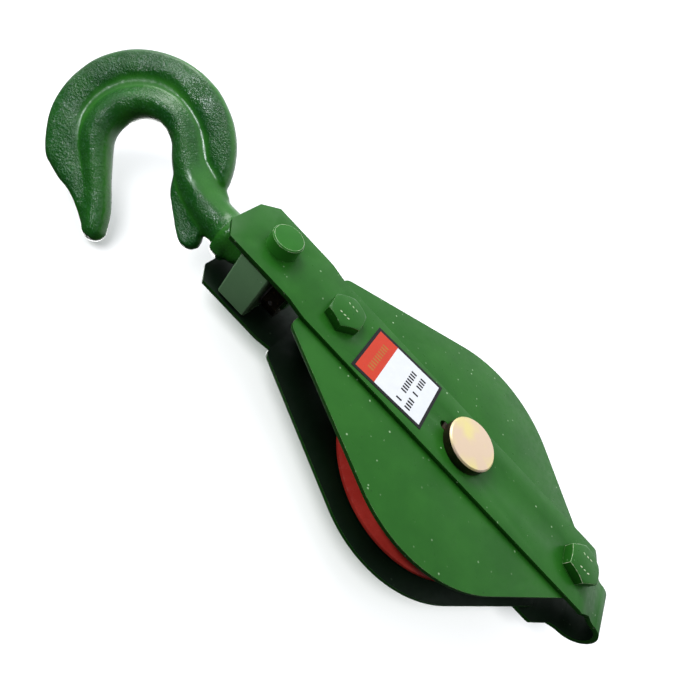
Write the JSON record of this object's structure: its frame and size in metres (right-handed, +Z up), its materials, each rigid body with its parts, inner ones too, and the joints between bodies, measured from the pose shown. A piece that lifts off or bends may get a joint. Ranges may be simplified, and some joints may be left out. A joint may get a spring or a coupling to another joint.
{
  "type": "single sheave hook block",
  "caption": "Steel rope pulley block: grooved sheave between leaf-shaped cheeks and strap arms, hung from a swivelling, tilting hook, with a rope eye below.",
  "frame": {"origin": "middle of the sheave's axle, where the axle crosses the rope groove's middle plane", "axes": "+Z up along the block from the rope eye to the hook; +Y along the axle from the pin's head to its tail; +X to the right seen from the head side"},
  "size_m": [0.116, 0.0681, 0.3316],
  "materials": {
    "green_paint": "gloss green enamel over rolled steel, brushed on, with dust specks",
    "hook_paint": "gloss dark green enamel over a rough forged surface",
    "crosshead_paint": "thin green overspray on a machined bar",
    "red_paint": "gloss red enamel over cast iron",
    "plated_steel": "yellow passivated zinc plating on turned steel",
    "bare_steel": "oiled bare steel",
    "bronze": "turned bearing bronze",
    "label_film": "printed film label, blank white field and red band in a black border"
  },
  "bodies": {
    "hook": {"hook": "hook_paint", "hook_nut": "hook_paint", "hook_nut_washer": "bare_steel", "hook_nut_pin": "bare_steel"},
    "crosshead": {"crosshead": "crosshead_paint"},
    "frame": {"strap": "green_paint", "front_cheek_plate": "green_paint", "rear_cheek_plate": "green_paint", "axle_pin": "plated_steel", "axle_washer": "plated_steel", "axle_cotter": "bare_steel", "front_thrust_washer": "bare_steel", "rear_thrust_washer": "bare_steel", "upper_bolt": "green_paint", "upper_nut": "green_paint", "upper_spring_washer": "green_paint", "upper_spacer_tube": "bare_steel", "lower_bolt": "green_paint", "lower_nut": "green_paint", "lower_spring_washer": "green_paint", "lower_spacer_tube": "bare_steel", "rating_label": "label_film"},
    "sheave": {"sheave": "red_paint", "sheave_bush": "bronze"}
  },
  "joints": [
    {"name": "hook_swivel", "type": "hinge", "parent": "hook", "child": "crosshead", "pos_m": [0, 0, 0.1144], "axis": [0, 0, 1], "continuous": true},
    {"name": "trunnion_tilt", "type": "hinge", "parent": "crosshead", "child": "frame", "pos_m": [0, 0, 0.1144], "axis": [0, 1, 0], "range_deg": [-100, 100]},
    {"name": "sheave_spin", "type": "hinge", "parent": "frame", "child": "sheave", "pos_m": [0, 0, 0], "axis": [0, 1, 0], "continuous": true}
  ]
}
